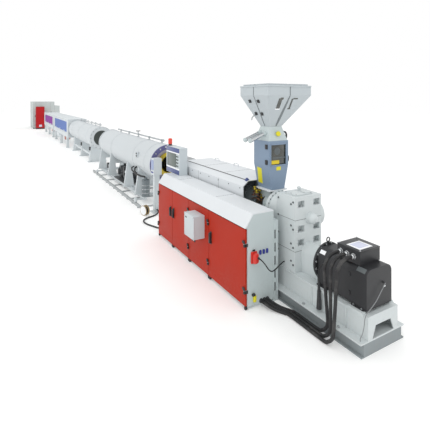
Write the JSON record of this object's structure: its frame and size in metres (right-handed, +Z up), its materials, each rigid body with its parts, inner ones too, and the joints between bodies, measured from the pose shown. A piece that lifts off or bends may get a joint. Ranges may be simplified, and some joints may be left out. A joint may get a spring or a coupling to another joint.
{
  "type": "plastic pipe extrusion line",
  "caption": "Pipe extrusion line: extruder with dosing hoppers, red-doored cabinet, vacuum and spray tanks, belt haul-offs and an enclosed saw.",
  "frame": {"origin": "on the floor, under the middle of the line", "axes": "+X along the pipe axis towards the extruder's drive end, -Y towards the cabinet doors, +Z up"},
  "size_m": [35.8, 2.12, 2.672],
  "materials": {
    "dark_steel": "matte",
    "bed_grey": "satin",
    "charcoal": "satin",
    "hood_white": "satin",
    "die_steel": "brushed",
    "dosing_blue_grey": "satin",
    "hopper_grey": "satin",
    "end_grey": "satin",
    "door_red": "gloss",
    "box_grey": "satin",
    "beacon_red": "gloss",
    "socket_plastic": "gloss",
    "rail_steel": "satin",
    "frame_white": "satin",
    "tank_grey": "satin",
    "ring_blue": "satin",
    "brass": "polished",
    "pipe_steel": "brushed",
    "pump_dark": "satin",
    "reel_wood": "matte",
    "guard_blue": "gloss",
    "guard_purple": "gloss",
    "track_rubber": "matte",
    "saw_grey": "satin",
    "saw_red": "gloss",
    "cable_black": "matte"
  },
  "bodies": {
    "plant": {"skid": "dark_steel", "bed": "bed_grey", "motor": "charcoal", "terminal_box": "charcoal", "coupling_housing": "bed_grey", "gearbox": "bed_grey", "thrust_housing": "bed_grey", "barrel": "dark_steel", "barrel_hood": "hood_white", "barrel_frame": "dark_steel", "die_head": "die_steel", "dosing_housing": "dosing_blue_grey", "dosing_neck": "end_grey", "hoppers": "hopper_grey", "cabinet_tray": "end_grey", "cabinet_roof": "hood_white", "cabinet_near_end": "end_grey", "cabinet_far_end": "end_grey", "cabinet_posts": "end_grey", "console": "box_grey", "beacon": "beacon_red", "cable_duct": "end_grey", "wall_sockets": "socket_plastic", "floor_track": "rail_steel", "pedestal": "frame_white", "cable_reel": "reel_wood", "spray_stand": "frame_white", "spray_shell": "tank_grey", "spray_near_end": "tank_grey", "spray_far_end": "tank_grey", "haul_base_1": "frame_white", "haul_hood_1": "frame_white", "haul_guards_1": "guard_blue", "haul_tracks_1": "track_rubber", "haul_base_2": "frame_white", "haul_hood_2": "frame_white", "haul_guards_2": "guard_purple", "haul_tracks_2": "track_rubber", "saw_housing": "saw_grey", "saw_cabinet": "saw_red", "motor_cable_1": "cable_black", "motor_cable_2": "cable_black", "motor_cable_3": "cable_black", "sensor_lead": "cable_black", "plug_lead": "cable_black", "fan_lead": "cable_black", "floor_cable": "cable_black"},
    "door_near": {"door_near": "door_red"},
    "door_mid_near": {"door_mid_near": "door_red", "junction_box": "box_grey"},
    "door_mid_far": {"door_mid_far": "door_red"},
    "door_far": {"door_far": "door_red"},
    "tank_carriage": {"tank_trolley": "frame_white", "tank_shell": "tank_grey", "tank_near_end": "ring_blue", "tank_far_end": "tank_grey", "sizing_sleeve": "brass", "tank_pipework": "pipe_steel", "pump_set": "pump_dark", "filter_vessel": "rail_steel"}
  },
  "joints": [
    {"name": "door_near_hinge", "type": "hinge", "parent": "plant", "child": "door_near", "pos_m": [16.678, -0.83, 0.5], "axis": [0, 0, 1], "range_deg": [0, 95]},
    {"name": "door_mid_near_hinge", "type": "hinge", "parent": "plant", "child": "door_mid_near", "pos_m": [15.798, -0.83, 0.5], "axis": [0, 0, 1], "range_deg": [0, 95]},
    {"name": "door_mid_far_hinge", "type": "hinge", "parent": "plant", "child": "door_mid_far", "pos_m": [15.173, -0.83, 0.5], "axis": [0, 0, 1], "range_deg": [0, 95]},
    {"name": "door_far_hinge", "type": "hinge", "parent": "plant", "child": "door_far", "pos_m": [13.947, -0.83, 0.5], "axis": [0, 0, -1], "range_deg": [0, 95]},
    {"name": "tank_traverse", "type": "slide", "parent": "plant", "child": "tank_carriage", "axis": [-1, 0, 0], "range_m": [0, 0.45]}
  ]
}
